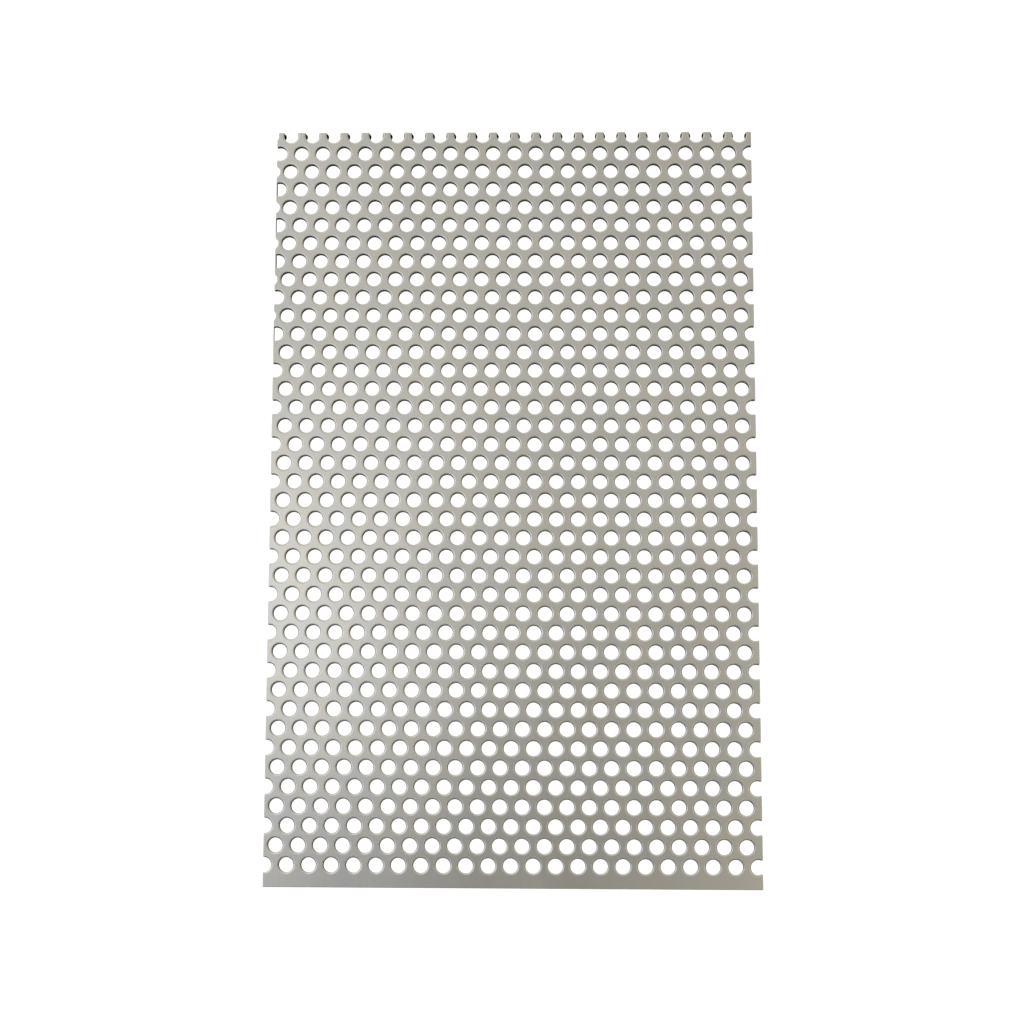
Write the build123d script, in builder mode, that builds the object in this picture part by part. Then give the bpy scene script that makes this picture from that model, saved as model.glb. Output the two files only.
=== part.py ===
from build123d import *
import math
import os

# A flat sheet of punched steel, one piece of stock. It lies on its underside,
# with the punch side up. X runs across the sheet, Y along it, Z up, and the
# origin is the middle of the underside.

# --- driving dimensions, mm --------------------------------------------------
THICKNESS = 2.0          # sheet gauge
SHEET_WIDTH = 200.0      # between the two sheared sides
SHEET_LENGTH = 314.3     # between the two sheared ends

HOLE_DIA = 6.0           # round punched hole
PITCH = 9.0              # centre to centre, 60 degree staggered pattern
COLUMNS = 23             # places in an even row; its outer two are cut by the sides
ROWS_EVEN = 20           # rows 0, 2, 4 ... 38
ROWS_ODD = 20            # rows -1, 1, 3 ... 37; row -1 is cut by the far end

END_CUT = 1.45           # far end, measured beyond the centres of row -1
PATTERN_X = -0.2         # middle of the pattern, from the middle of the sheet
SIDE_SKEW = 0.22         # degrees; the sides were sheared a little off the pattern

# Depth of the shallow bites that the next holes outside left in the left side,
# in rows -1, 1, 3, 5, 7 and 9.
BITES = (0.7, 1.5, 1.6, 1.3, 1.15, 0.9)

# Slivers of burr still bridging four of the cut holes on the left side: row and width.
SLIVERS = {2: 0.37, 4: 0.22, 6: 0.52, 10: 0.18}

# --- derived -----------------------------------------------------------------
HOLE_R = HOLE_DIA / 2
ROW_PITCH = PITCH * math.sqrt(3) / 2
HALF_L = SHEET_LENGTH / 2
Y_ROW_ODD_FIRST = HALF_L - END_CUT                 # row -1
Y_ROW_EVEN_FIRST = Y_ROW_ODD_FIRST - ROW_PITCH     # row 0
Y_EVEN_MID = Y_ROW_EVEN_FIRST - (ROWS_EVEN - 1) * ROW_PITCH
Y_ODD_MID = Y_ROW_ODD_FIRST - (ROWS_ODD - 1) * ROW_PITCH
SLOPE = math.tan(math.radians(SIDE_SKEW))


def side_x(side, y):
    """X of the left (-1) or right (+1) sheared side at a given Y."""
    return side * SHEET_WIDTH / 2 - SLOPE * y


bite_places = []
for i, depth in enumerate(BITES):
    y = Y_ROW_ODD_FIRST - 2 * i * ROW_PITCH
    bite_places.append((side_x(-1, y) - HOLE_R + depth, y))

with BuildPart() as perforated_sheet:
    with BuildSketch() as outline:
        with BuildLine():
            Polyline(
                (side_x(-1, -HALF_L), -HALF_L),
                (side_x(1, -HALF_L), -HALF_L),
                (side_x(1, HALF_L), HALF_L),
                (side_x(-1, HALF_L), HALF_L),
                close=True,
            )
        make_face()
        with Locations((PATTERN_X, Y_EVEN_MID)):
            with GridLocations(PITCH, 2 * ROW_PITCH, COLUMNS, ROWS_EVEN):
                Circle(HOLE_R, mode=Mode.SUBTRACT)
        with Locations((PATTERN_X, Y_ODD_MID)):
            with GridLocations(PITCH, 2 * ROW_PITCH, COLUMNS - 1, ROWS_ODD):
                Circle(HOLE_R, mode=Mode.SUBTRACT)
        with Locations(*bite_places):
            Circle(HOLE_R, mode=Mode.SUBTRACT)
        for row, width in SLIVERS.items():
            y = Y_ROW_EVEN_FIRST - row * ROW_PITCH
            top, low = y + HOLE_R, y - HOLE_R
            with BuildLine():
                Polyline(
                    (side_x(-1, top), top),
                    (side_x(-1, low), low),
                    (side_x(-1, low) + width, low),
                    (side_x(-1, top) + width, top),
                    close=True,
                )
            make_face()
    extrude(amount=THICKNESS)

perforated_sheet.part.label = "perforated_sheet"

os.makedirs("parts", exist_ok=True)
export_step(perforated_sheet.part, "parts/perforated_sheet.step")

box = perforated_sheet.part.bounding_box()
print("size", box.size, "min", box.min, "max", box.max)
print("solids", len(perforated_sheet.part.solids()), "volume", perforated_sheet.part.volume)
print("row 0 at y", Y_ROW_EVEN_FIRST, "row 38 at y", Y_ROW_EVEN_FIRST - 38 * ROW_PITCH)
print("near margin", Y_ROW_EVEN_FIRST - 38 * ROW_PITCH + HALF_L)
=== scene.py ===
import math

import bpy
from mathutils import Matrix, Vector
from mathutils.geometry import delaunay_2d_cdt


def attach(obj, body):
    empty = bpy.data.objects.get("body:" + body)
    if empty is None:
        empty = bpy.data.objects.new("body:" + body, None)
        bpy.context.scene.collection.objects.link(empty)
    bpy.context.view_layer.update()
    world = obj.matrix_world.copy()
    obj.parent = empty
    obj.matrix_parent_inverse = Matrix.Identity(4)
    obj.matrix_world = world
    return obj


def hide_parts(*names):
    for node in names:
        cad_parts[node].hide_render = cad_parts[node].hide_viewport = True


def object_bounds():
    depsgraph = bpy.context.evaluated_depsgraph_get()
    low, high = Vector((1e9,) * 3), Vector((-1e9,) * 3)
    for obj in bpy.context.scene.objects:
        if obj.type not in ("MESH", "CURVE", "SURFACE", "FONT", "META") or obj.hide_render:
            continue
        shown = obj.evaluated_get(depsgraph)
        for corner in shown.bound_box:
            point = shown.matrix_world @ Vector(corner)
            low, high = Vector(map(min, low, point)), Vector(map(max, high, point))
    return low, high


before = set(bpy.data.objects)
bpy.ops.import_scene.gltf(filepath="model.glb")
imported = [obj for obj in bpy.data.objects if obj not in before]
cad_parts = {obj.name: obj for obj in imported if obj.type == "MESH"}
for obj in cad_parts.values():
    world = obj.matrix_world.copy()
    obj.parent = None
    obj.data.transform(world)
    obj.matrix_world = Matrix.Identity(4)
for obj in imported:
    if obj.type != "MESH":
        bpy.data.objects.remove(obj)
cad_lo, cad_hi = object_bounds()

MM = 0.001

# ---------------------------------------------------------------------------
# The sheet, in mm, as the CAD model has it
# ---------------------------------------------------------------------------
T = (cad_hi.z - cad_lo.z) / MM
W, L = 200.0, 314.3
R = 3.0
P = 9.0
ROW = P * math.sqrt(3) / 2
END_CUT = 1.45
PX = -0.2
SLOPE = math.tan(math.radians(0.22))
BITES = (0.7, 1.5, 1.6, 1.3, 1.15, 0.9)
# rows whose cut hole on the left is closed by a thin strip of metal along the edge, and the strip's width
SLIVERS = {2: 0.37, 4: 0.22, 6: 0.52, 10: 0.18}
Y_M1 = L / 2 - END_CUT
Y_0 = Y_M1 - ROW

N = 24  # sides of a hole
STEP = 2 * math.pi / N


def row_y(i):
    return Y_0 - i * ROW


def col_x(u):
    return PX + (u - 11) * P


def side_x(side, y):
    return side * W / 2 - SLOPE * y


# ---------------------------------------------------------------------------
# Loops in plan: one outline, cut through the holes it meets, and whole holes
# ---------------------------------------------------------------------------
def arc(c, a0, a1):
    """Points on a hole's circle from angle a0 to a1, going clockwise if a1 < a0."""
    n = max(2, round(abs(a1 - a0) / STEP))
    return [
        (c[0] + R * math.cos(a0 + (a1 - a0) * k / n), c[1] + R * math.sin(a0 + (a1 - a0) * k / n))
        for k in range(n + 1)
    ]


def meets(c, p, d):
    """Distances along the line from p in direction d where it crosses the circle round c."""
    px, py = p[0] - c[0], p[1] - c[1]
    b = px * d[0] + py * d[1]
    q = b * b - (px * px + py * py - R * R)
    if q <= 0:
        return None
    return -b - math.sqrt(q), -b + math.sqrt(q)


def cut_path(p, q, circles):
    """The line from p to q, with the sheet on its left, cut away by circles in order."""
    d = (q[0] - p[0], q[1] - p[1])
    ln = math.hypot(*d)
    d = (d[0] / ln, d[1] / ln)
    out = []
    for c in circles:
        s0, s1 = meets(c, p, d)
        pts = []
        e0 = (p[0] + d[0] * s0, p[1] + d[1] * s0)
        e1 = (p[0] + d[0] * s1, p[1] + d[1] * s1)
        a0 = math.atan2(e0[1] - c[1], e0[0] - c[0])
        a1 = math.atan2(e1[1] - c[1], e1[0] - c[0])
        # round the hole with the sheet on the left means clockwise
        while a1 > a0:
            a1 -= 2 * math.pi
        out.append((s0, s1, arc(c, a0, a1)))
    return out


bl = (side_x(-1, -L / 2), -L / 2)
br = (side_x(1, -L / 2), -L / 2)
tr = (side_x(1, L / 2), L / 2)
tl = (side_x(-1, L / 2), L / 2)

outline = [bl, br]
for _, _, pts in cut_path(br, tr, [(col_x(22), row_y(i)) for i in range(38, -1, -2)]):
    outline += pts
outline.append(tr)
for _, _, pts in cut_path(tr, tl, [(col_x(u + 0.5), Y_M1) for u in range(21, -1, -1)]):
    outline += pts
left = [(side_x(-1, row_y(-1)) - R + BITES[0], row_y(-1))]
for i in range(0, 39):
    if i % 2 == 0:
        if i not in SLIVERS:
            left.append((col_x(0), row_y(i)))
    elif (i + 1) // 2 < len(BITES):
        left.append((side_x(-1, row_y(i)) - R + BITES[(i + 1) // 2], row_y(i)))
bites = [c for c in left if c[0] < col_x(0) - 1]
down = cut_path(tl, bl, left)
# the first bite takes the corner too, so its arc starts on the far end
c = left[0]
s0, s1, pts = down[0]
a_end = math.atan2(pts[-1][1] - c[1], pts[-1][0] - c[0])
a_start = math.asin((L / 2 - c[1]) / R)
down[0] = (s0, s1, arc(c, a_start, a_end))
tight = {}  # points of the outline beside a sliver: how wide the roll may be there, in mm
runs = [pts for _, _, pts in down]
for i, w in SLIVERS.items():
    pts = [(side_x(-1, row_y(i) + h), row_y(i) + h) for h in (3.3, 2.6, 1.3, 0.0, -1.3, -2.6, -3.3)]
    for p in pts:
        tight[p] = 0.25 * w
    runs.append(pts)
runs.sort(key=lambda pts: -pts[0][1])
for pts in runs:
    outline += pts


def rounded(loop, r, steps):
    """Each sharp outward corner of a loop rounded off to radius r; also the corner points alone."""
    out, corners = [], []
    n = len(loop)
    for i in range(n):
        a, b, c = (Vector(loop[k % n]) for k in (i - 1, i, i + 1))
        u, v = (a - b).normalized(), (c - b).normalized()
        turn = (b - a).x * (c - b).y - (b - a).y * (c - b).x
        half = u.angle(v) / 2
        if turn > 0 and half < math.radians(75):
            mid = b + (u + v).normalized() * (r / math.sin(half))
            p = b + u * (r / math.tan(half))
            a0 = math.atan2(p.y - mid.y, p.x - mid.x)
            sweep = math.pi - 2 * half
            for k in range(steps + 1):
                t = a0 + sweep * k / steps
                out.append((mid.x + r * math.cos(t), mid.y + r * math.sin(t)))
                corners.append(out[-1])
        else:
            out.append(tuple(loop[i]))
    return out, corners


outline, corners = rounded(outline, 0.40, 3)

# the comb's arcs, one point more between each two
Y_LOW = L / 2 - 4.6
combs = [(col_x(u + 0.5), Y_M1) for u in range(22)]


def on_comb(p):
    """The centre of the comb's hole that p lies on the wall of, if it does."""
    if p[1] > Y_LOW and p not in corners:
        c = min(combs, key=lambda c: abs(c[0] - p[0]))
        if abs(math.hypot(p[0] - c[0], p[1] - c[1]) - R) < 0.02:
            return c
    return None


finer = []
for k, p in enumerate(outline):
    q = outline[(k + 1) % len(outline)]
    finer.append(p)
    c = on_comb(p)
    if c and on_comb(q) == c:
        m = Vector((p[0] + q[0] - 2 * c[0], p[1] + q[1] - 2 * c[1])).normalized() * R
        finer.append((c[0] + m.x, c[1] + m.y))
outline = finer

holes = []
for i in range(39):
    us = range(1, 22) if i % 2 == 0 else [k + 0.5 for k in range(22)]
    holes += [(col_x(u), row_y(i)) for u in us]

# ---------------------------------------------------------------------------
# Profile of a punched or sheared edge: how far back from the wall, how deep
# ---------------------------------------------------------------------------
ROLL = ((0.785, 0.0), (0.370, 0.031), (0.0, 0.22))
ROLL_NZ = (1.0, 0.989, 0.60)  # how far up the shading normal looks at each ring
NARROW = 0.42  # share of the roll's width at the outline's straight edges and corners


def inset(loop, w):
    """The loop moved w into the metal; the metal is on its left."""
    out = []
    n = len(loop)
    for i in range(n):
        a, b, c = (Vector(loop[k % n]) for k in (i - 1, i, i + 1))
        d0, d1 = (b - a).normalized(), (c - b).normalized()
        n0, n1 = Vector((-d0.y, d0.x)), Vector((-d1.y, d1.x))
        m = n0 + n1
        m = m / max(m.dot(m) / 2, 0.35)
        out.append(b + m * w)
    return out


verts, faces, normals, kinds = [], [], [], []
# kinds: 0 flat, 1 the shallow dish of the rolled edge, 2 its steep lip, 3 wall, 4 wall on the outline's straight runs


def ring(loop, z):
    at = len(verts)
    verts.extend((p[0], p[1], z) for p in loop)
    return list(range(at, at + len(loop)))


top_loops, low_loops = [], []


def wall(base, in_dir, broad=None, drag=None, straight=None):
    """Rings down one edge. base is the loop at the wall, in_dir each point's direction into the metal,
    broad each point's share of the roll's full width, drag how far the shear pushed the foot out,
    straight whether the outline runs straight on from each point."""
    n = len(base)
    broad = broad or [1.0] * n
    drag = drag or [0.0] * n
    rings = []
    for w, depth in ROLL:
        rings.append(
            ring([(p[0] + d[0] * w * q, p[1] + d[1] * w * q) for p, d, q in zip(base, in_dir, broad)], T - depth)
        )
    unit = [Vector(d).normalized() for d in in_dir]
    rings.append(ring([(p[0] - math.copysign(f, d.x), p[1]) for p, d, f in zip(base, unit, drag)], 0.0))
    nz = list(ROLL_NZ) + [0.0]
    for k in range(len(rings) - 1):
        hi, lo = rings[k], rings[k + 1]
        for i in range(n):
            j = (i + 1) % n
            # metal on the left of the loop, so the wall faces right
            faces.append((hi[i], lo[i], lo[j], hi[j]))
            quad = []
            for idx, z in ((i, nz[k]), (i, nz[k + 1]), (j, nz[k + 1]), (j, nz[k])):
                if k == len(rings) - 2:
                    z = drag[idx] / math.hypot(drag[idx], T)
                h = math.sqrt(max(0.0, 1 - z * z))
                quad.append((-unit[idx].x * h, -unit[idx].y * h, z))
            normals.append(quad)
            kinds.append(4 if k == len(rings) - 2 and straight and straight[i] else k + 1)
    top_loops.append(rings[0])
    low_loops.append(rings[-1])


# outline, counterclockwise, metal on its left
moved = inset(outline, 1.0)
wide = ROLL[0][0]


def on_bite(p):
    """Whether p lies on the wall of one of the shallow bites, which were sheared and not punched."""
    return any(abs(math.hypot(p[0] - c[0], p[1] - c[1]) - R) < 0.1 for c in bites)


def share(p):
    """How much of the full roll fits at a point of the outline, clear of corners and holes."""
    if p in tight:
        return tight[p] / wide
    if on_bite(p):
        return 0.3
    if p in corners:
        return NARROW
    web = min(math.hypot(p[0] - c[0], p[1] - c[1]) for c in holes) - R
    return max(0.3, min(1.0, (web - wide - 0.06) / wide))


def dragged(p, d):
    """The teeth of the comb were squeezed out sideways below their tips when the end was sheared."""
    if p in corners:
        # the last point of the arc, next to the tip
        near = min(math.hypot(p[0] - c[0], p[1] - c[1]) for c in combs)
        if p[1] < Y_LOW or near > R + 0.05:
            return 0.0
    elif not on_comb(p):
        return 0.0
    h = p[1] - (L / 2 - 1.35)
    leaf = math.exp(-((h / (1.0 if h > 0 else 1.25)) ** 2))
    k = p[0] / 95
    return leaf * (0.80 - 0.10 * k if d[0] < 0 else 0.50 + 0.15 * k)


def on_side(p, q):
    """Whether the middle of p to q lies on one of the sheet's four sheared sides."""
    mx, my = (p[0] + q[0]) / 2, (p[1] + q[1]) / 2
    return on_bite((mx, my)) or abs(abs(my) - L / 2) < 0.13 or abs(abs(mx + SLOPE * my) - W / 2) < 0.13


into = [(m[0] - p[0], m[1] - p[1]) for m, p in zip(moved, outline)]
wall(
    outline,
    into,
    [share(p) for p in outline],
    [dragged(p, d) for p, d in zip(outline, into)],
    [on_side(p, outline[(k + 1) % len(outline)]) for k, p in enumerate(outline)],
)
# the bridged holes: an arc closed by a straight side along the sliver
for i, w in SLIVERS.items():
    c = (col_x(0), row_y(i))
    ends = []
    for s in (1, -1):
        y = c[1] + s * 2.8
        for _ in range(8):
            x = side_x(-1, y) + w
            y = c[1] + s * math.sqrt(R * R - (x - c[0]) ** 2)
        ends.append(math.atan2(y - c[1], side_x(-1, y) + w - c[0]))
    loop = arc(c, ends[0], ends[1])
    low, high = loop[-1], loop[0]
    along = [(low[0] + (high[0] - low[0]) * t, low[1] + (high[1] - low[1]) * t) for t in (0.25, 0.5, 0.75)]
    n_arc = len(loop)
    loop += along
    thin = 0.3 * w / wide
    wall(
        loop,
        [(m[0] - p[0], m[1] - p[1]) for m, p in zip(inset(loop, 1.0), loop)],
        [1.0 if 1 < k < n_arc - 2 else 0.5 if 0 < k < n_arc - 1 else thin for k in range(len(loop))],
    )
# holes, clockwise, metal on the left
for k, c in enumerate(holes):
    a = [-(q + 0.5) * STEP for q in range(N)]
    base = [(c[0] + R * math.cos(t), c[1] + R * math.sin(t)) for t in a]
    wall(base, [(math.cos(t), math.sin(t)) for t in a])


def cap(loops, up):
    ids = [i for lp in loops for i in lp]
    co = [Vector((verts[i][0], verts[i][1])) for i in ids]
    edges, at = [], 0
    for lp in loops:
        n = len(lp)
        edges += [(at + k, at + (k + 1) % n) for k in range(n)]
        at += n
    got = delaunay_2d_cdt(co, edges, [], 0, 1e-6)
    gv, ge, gf, ov = got[0], got[1], got[2], got[3]
    back = {}
    for new, olds in enumerate(ov):
        for o in olds:
            back[new] = ids[o]
    pos = {}
    for li, lp in enumerate(loops):
        for k, v in enumerate(lp):
            pos[v] = (li, k, len(lp))
    bad = 0
    for f in gf:
        tri = [back[v] for v in f]
        ls = {pos[v][0] for v in tri}
        if len(ls) == 1:
            li = ls.pop()
            if li > 0:
                continue  # a triangle with all its corners on one hole lies in the hole
            # all on the outline, which runs counterclockwise: in the metal if it turns the same way
            a, b, c3 = (Vector(verts[v][:2]) for v in sorted(tri, key=lambda v: pos[v][1]))
            if (b - a).x * (c3 - a).y - (b - a).y * (c3 - a).x <= 0:
                continue
        a, b, c3 = (Vector(verts[v][:2]) for v in tri)
        area = (b - a).x * (c3 - a).y - (b - a).y * (c3 - a).x
        if abs(area) < 1e-9:
            bad += 1
        if (area > 0) != up:
            tri = tri[::-1]
        faces.append(tuple(tri))
        z = 1.0 if up else -1.0
        normals.append([(0.0, 0.0, z)] * 3)
        kinds.append(0)
    return bad


bad = cap(top_loops, True) + cap(low_loops, False)
tris = sum(len(f) - 2 for f in faces)
print("sheet: verts", len(verts), "triangles", tris, "degenerate", bad)

me = bpy.data.meshes.new("perforated_sheet_skin")
me.from_pydata([(x * MM, y * MM, z * MM) for x, y, z in verts], [], faces)
me.polygons.foreach_set("use_smooth", [True] * len(me.polygons))
# the walls of the holes and the comb (kind 3) get the near-black painted-shade material, the straight sheared sides
# (kind 4) their own
me.polygons.foreach_set("material_index", [max(0, k - 2) for k in kinds])
me.update()
flat = [n for quad in normals for n in quad]
me.normals_split_custom_set(flat)
sheet = bpy.data.objects.new("punched_sheet", me)
bpy.context.scene.collection.objects.link(sheet)
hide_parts("perforated_sheet")
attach(sheet, "root")


# ---------------------------------------------------------------------------
# Materials
# ---------------------------------------------------------------------------
def new_material(name):
    m = bpy.data.materials.new(name)
    m.use_nodes = True
    nt = m.node_tree
    nt.nodes.clear()
    out = nt.nodes.new("ShaderNodeOutputMaterial")
    bsdf = nt.nodes.new("ShaderNodeBsdfPrincipled")
    nt.links.new(bsdf.outputs["BSDF"], out.inputs["Surface"])
    return m, nt, bsdf


def noise(nt, coord, scale3, scale, detail=4.0, rough=0.5):
    mp = nt.nodes.new("ShaderNodeMapping")
    mp.inputs["Scale"].default_value = scale3
    nt.links.new(coord, mp.inputs["Vector"])
    n = nt.nodes.new("ShaderNodeTexNoise")
    n.inputs["Scale"].default_value = scale
    n.inputs["Detail"].default_value = detail
    n.inputs["Roughness"].default_value = rough
    nt.links.new(mp.outputs["Vector"], n.inputs["Vector"])
    return n.outputs["Fac"]


def ranged(nt, fac, lo, hi, a=0.0, b=1.0):
    m = nt.nodes.new("ShaderNodeMapRange")
    m.inputs["From Min"].default_value = a
    m.inputs["From Max"].default_value = b
    m.inputs["To Min"].default_value = lo
    m.inputs["To Max"].default_value = hi
    nt.links.new(fac, m.inputs["Value"])
    return m.outputs["Result"]


def math_node(nt, op, x, y):
    m = nt.nodes.new("ShaderNodeMath")
    m.operation = op
    for s, v in zip(m.inputs, (x, y)):
        if isinstance(v, (int, float)):
            s.default_value = v
        else:
            nt.links.new(v, s)
    return m.outputs[0]


steel, nt, bsdf = new_material("mill_finish_steel")
coord = nt.nodes.new("ShaderNodeTexCoord").outputs["Object"]
bsdf.inputs["Metallic"].default_value = 1.0
# patches of slightly different grey, long in the rolling direction
patch = noise(nt, coord, (1.0, 0.45, 1.0), 26.0, 3.0, 0.55)
streak = noise(nt, coord, (1.0, 0.03, 1.0), 900.0, 3.0, 0.6)
tint = noise(nt, coord, (1.0, 0.6, 1.0), 110.0, 3.0, 0.65)
ramp = nt.nodes.new("ShaderNodeValToRGB")
ramp.color_ramp.elements[0].position = 0.28
ramp.color_ramp.elements[0].color = (0.535, 0.535, 0.535, 1)
ramp.color_ramp.elements[1].position = 0.72
ramp.color_ramp.elements[1].color = (0.600, 0.600, 0.600, 1)
nt.links.new(patch, ramp.inputs["Fac"])
stain = nt.nodes.new("ShaderNodeValToRGB")
stain.color_ramp.elements[0].position = 0.30
stain.color_ramp.elements[0].color = (0.995, 1.000, 0.985, 1)
stain.color_ramp.elements[1].position = 0.70
stain.color_ramp.elements[1].color = (1.045, 1.000, 0.905, 1)
nt.links.new(tint, stain.inputs["Fac"])
both = nt.nodes.new("ShaderNodeMix")
both.data_type = "RGBA"
both.blend_type = "MULTIPLY"
both.inputs[0].default_value = 1.0
nt.links.new(ramp.outputs["Color"], both.inputs[6])
nt.links.new(stain.outputs["Color"], both.inputs[7])
nt.links.new(both.outputs[2], bsdf.inputs["Base Color"])
rough = math_node(nt, "ADD", ranged(nt, streak, -0.02, 0.02), ranged(nt, patch, 0.235, 0.255))
nt.links.new(rough, bsdf.inputs["Roughness"])
bump = nt.nodes.new("ShaderNodeBump")
bump.inputs["Strength"].default_value = 0.10
bump.inputs["Distance"].default_value = 0.00002
nt.links.new(streak, bump.inputs["Height"])
nt.links.new(bump.outputs["Normal"], bsdf.inputs["Normal"])

# The hole walls: matte, with a near-black colour and no sheen, which is painted shade standing in for the dark inside
# the holes; the grain varies it at random
shear, nt, bsdf = new_material("hole_wall_painted_shade")
coord = nt.nodes.new("ShaderNodeTexCoord").outputs["Object"]
grain = noise(nt, coord, (1.0, 1.0, 0.25), 2500.0, 3.0, 0.6)
ramp = nt.nodes.new("ShaderNodeValToRGB")
ramp.color_ramp.elements[0].color = (0.002, 0.002, 0.002, 1)
ramp.color_ramp.elements[1].color = (0.012, 0.011, 0.009, 1)
nt.links.new(grain, ramp.inputs["Fac"])
nt.links.new(ramp.outputs["Color"], bsdf.inputs["Base Color"])
bsdf.inputs["Metallic"].default_value = 0.0
bsdf.inputs["Roughness"].default_value = 0.7
bsdf.inputs["Specular IOR Level"].default_value = 0.0

# the four sides: a burnished band above, the grey torn steel below it
side_cut, nt, bsdf = new_material("sheared_side")
coord = nt.nodes.new("ShaderNodeTexCoord").outputs["Object"]
level = nt.nodes.new("ShaderNodeSeparateXYZ")
nt.links.new(coord, level.inputs[0])
grain = noise(nt, coord, (1.0, 1.0, 0.25), 2500.0, 3.0, 0.6)
band = ranged(
    nt, math_node(nt, "ADD", level.outputs["Z"], ranged(nt, grain, -0.3 * MM, 0.3 * MM)), 0.0, 1.0, 1.0 * MM, 1.35 * MM
)
tone = math_node(nt, "ADD", ranged(nt, band, 0.16, 0.30), ranged(nt, grain, -0.05, 0.05))
grey = nt.nodes.new("ShaderNodeCombineColor")
nt.links.new(tone, grey.inputs[0])
nt.links.new(tone, grey.inputs[1])
nt.links.new(math_node(nt, "MULTIPLY", tone, 0.96), grey.inputs[2])
nt.links.new(grey.outputs[0], bsdf.inputs["Base Color"])
bsdf.inputs["Metallic"].default_value = 1.0
nt.links.new(ranged(nt, band, 0.6, 0.4), bsdf.inputs["Roughness"])

me.materials.append(steel)
me.materials.append(shear)
me.materials.append(side_cut)

# ---------------------------------------------------------------------------
# Floor, light, camera
# ---------------------------------------------------------------------------
fm = bpy.data.materials.new("floor")
fm.use_nodes = True
nt = fm.node_tree
nt.nodes.clear()
out = nt.nodes.new("ShaderNodeOutputMaterial")
fb = nt.nodes.new("ShaderNodeBsdfPrincipled")
fb.inputs["Base Color"].default_value = (0.08, 0.08, 0.08, 1)
fb.inputs["Roughness"].default_value = 0.9
fb.inputs["Specular IOR Level"].default_value = 0.0
fb.inputs["Emission Color"].default_value = (1.0, 1.0, 0.98, 1)
fb.inputs["Emission Strength"].default_value = 1.05
nt.links.new(fb.outputs["BSDF"], out.inputs["Surface"])
fme = bpy.data.meshes.new("floor")
s = 3.0
fme.from_pydata([(-s, -s, 0), (s, -s, 0), (s, s, 0), (-s, s, 0)], [], [(0, 1, 2, 3)])
fme.materials.append(fm)
floor = bpy.data.objects.new("floor", fme)
floor.location.z = cad_lo.z - 0.00005
bpy.context.scene.collection.objects.link(floor)

world = bpy.data.worlds.new("studio")
bpy.context.scene.world = world
world.use_nodes = True
wt = world.node_tree
bg = wt.nodes["Background"]


def clamp_node(nt, x, lo, hi):
    return math_node(nt, "MINIMUM", math_node(nt, "MAXIMUM", x, lo), hi)


def times(x, y):
    return math_node(wt, "MULTIPLY", x, y)


def plus(x, y):
    return math_node(wt, "ADD", x, y)


def less(x, y):
    return math_node(wt, "SUBTRACT", x, y)


def ease(x, lo, hi):
    """0 at lo, 1 at hi, smooth between them."""
    m = wt.nodes.new("ShaderNodeMapRange")
    m.interpolation_type = "SMOOTHSTEP"
    m.inputs["From Min"].default_value = lo
    m.inputs["From Max"].default_value = hi
    wt.links.new(x, m.inputs["Value"])
    return m.outputs["Result"]


def blend(x, y, t):
    """x where t is 0, y where t is 1."""
    return plus(times(x, less(1.0, t)), times(y, t))


# The room as the steel sees it. Overhead: dark where the boom hangs, brighter towards the front
# and the left. Further down: a bright wall at the back, a dark one in front. Lowest: a pale band.
B0, BX, BY = 1.221, -0.633, -2.192
DD, DX, DY, DS = 1.380, -0.054, -0.106, 0.1986
F0, F1, FA = 0.255, 0.444, 1.845
S0, S1 = 0.307, 0.5255
L0, L1, LMIN = 0.155, 0.45, 0.17
GAIN = 1.0 / 0.57
HORIZON = 0.46

direction = wt.nodes.new("ShaderNodeTexCoord").outputs["Generated"]
split = wt.nodes.new("ShaderNodeSeparateXYZ")
wt.links.new(direction, split.inputs[0])
ux, uy, uz = split.outputs["X"], split.outputs["Y"], split.outputs["Z"]
up = math_node(wt, "MAXIMUM", uz, 0.05)
px = math_node(wt, "DIVIDE", ux, up)
py = math_node(wt, "DIVIDE", uy, up)
hx = clamp_node(wt, px, -1.0, 1.0)
hy = clamp_node(wt, py, -1.0, 1.0)
dx = less(hx, DX)
dy = less(hy, DY)
bell = math_node(wt, "POWER", math.e, times(plus(times(dx, dx), times(dy, dy)), -1 / (2 * DS * DS)))
over = less(plus(plus(times(hx, BX), times(hy, BY)), B0), times(bell, DD))
over = math_node(wt, "MAXIMUM", over, 0.03)
flat_len = math_node(wt, "POWER", plus(plus(times(ux, ux), times(uy, uy)), 1e-9), 0.5)
side = math_node(wt, "DIVIDE", plus(times(ux, math.cos(FA)), times(uy, math.sin(FA))), flat_len)
around = math_node(wt, "MAXIMUM", plus(times(side, F1), F0), 0.03)
ax, ay = plus(px, 0.02), less(py, 0.15)
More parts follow.
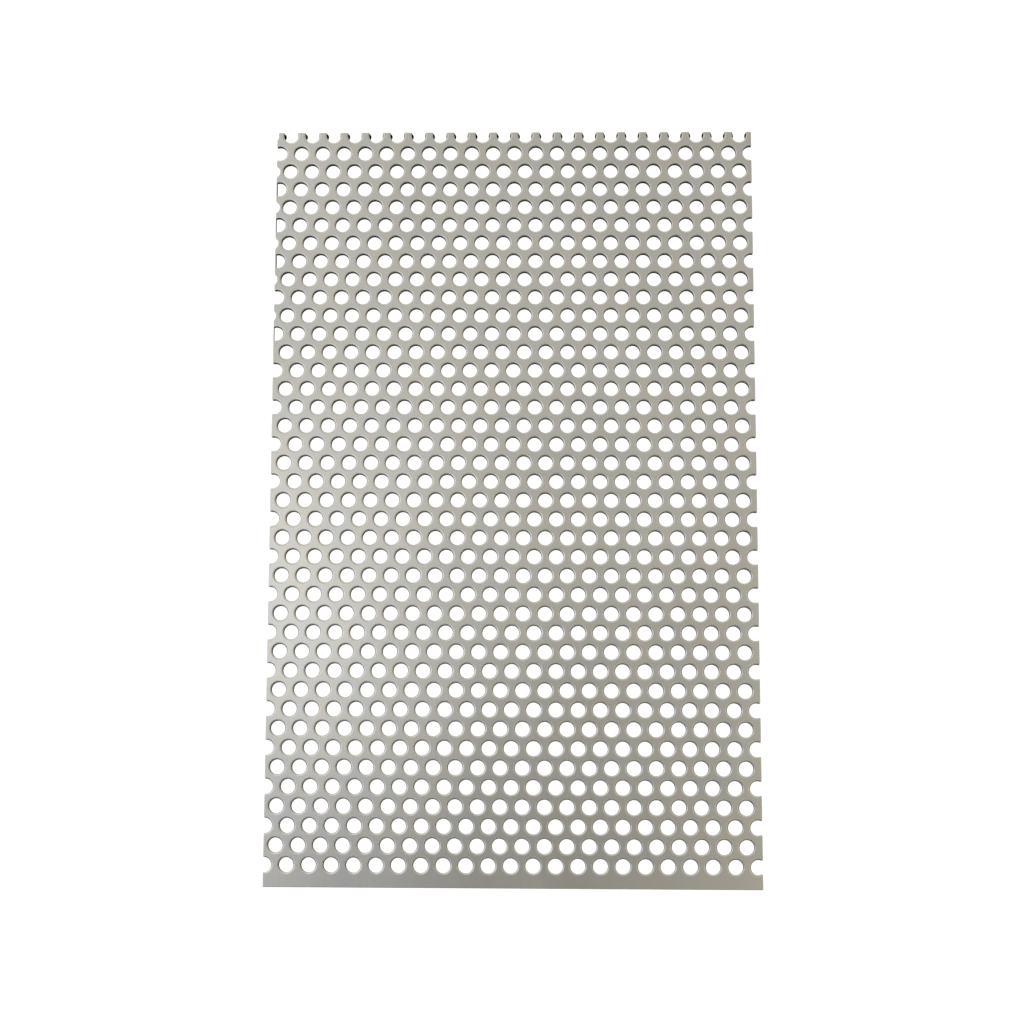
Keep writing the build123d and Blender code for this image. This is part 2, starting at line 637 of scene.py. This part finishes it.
away = math_node(wt, "POWER", plus(times(ax, ax), times(ay, ay)), 0.5)
sky = blend(over, around, ease(away, S0, S1))
low = ease(times(uz, -1.0), -0.60, -0.36)
sky = blend(sky, math_node(wt, "MAXIMUM", plus(times(side, L1), L0), LMIN), low)
sky = blend(sky, HORIZON, ease(times(uz, -1.0), -0.16, -0.06))
wt.links.new(times(sky, GAIN), bg.inputs["Strength"])
# a little cooler on the left, warmer on the right and down in front
tx = clamp_node(wt, px, -0.3, 0.3)
ty = clamp_node(wt, py, -0.3, 0.4)
txy = times(tx, ty)
red = plus(plus(times(tx, 0.182), times(txy, -0.342)), 1.018)
blue = plus(plus(times(tx, -0.541), times(txy, 1.43)), 0.944)
hue = wt.nodes.new("ShaderNodeCombineColor")
wt.links.new(blend(red, 1.0, low), hue.inputs[0])
hue.inputs[1].default_value = 1.0
wt.links.new(blend(blue, 0.98, low), hue.inputs[2])
wt.links.new(hue.outputs[0], bg.inputs["Color"])


def area(name, loc, target, size_x, size_y, power, color=(1, 1, 1)):
    ld = bpy.data.lights.new(name, "AREA")
    ld.shape = "RECTANGLE"
    ld.size, ld.size_y = size_x, size_y
    ld.energy = power
    ld.color = color
    lo = bpy.data.objects.new(name, ld)
    lo.location = loc
    lo.rotation_euler = (Vector(target) - Vector(loc)).to_track_quat("-Z", "Y").to_euler()
    bpy.context.scene.collection.objects.link(lo)
    return lo


area("soft_box", (-0.2902, 0.0867, 1.5671), (-0.2902, 0.0867, 0), 0.2522, 0.3270, 0.2524)

cam_data = bpy.data.cameras.new("camera")
cam_data.sensor_width = 36.0
cam_data.lens = 72.0
cam_data.clip_start, cam_data.clip_end = 0.01, 20.0
cam = bpy.data.objects.new("camera", cam_data)
cam.location = (0.0202, -0.1317, 0.8324)
cam.rotation_euler = (math.radians(8.675), math.radians(1.368), math.radians(0.325))
bpy.context.scene.collection.objects.link(cam)
bpy.context.scene.camera = cam
bpy.context.scene.view_settings.view_transform = "Standard"
bpy.context.scene.view_settings.look = "None"
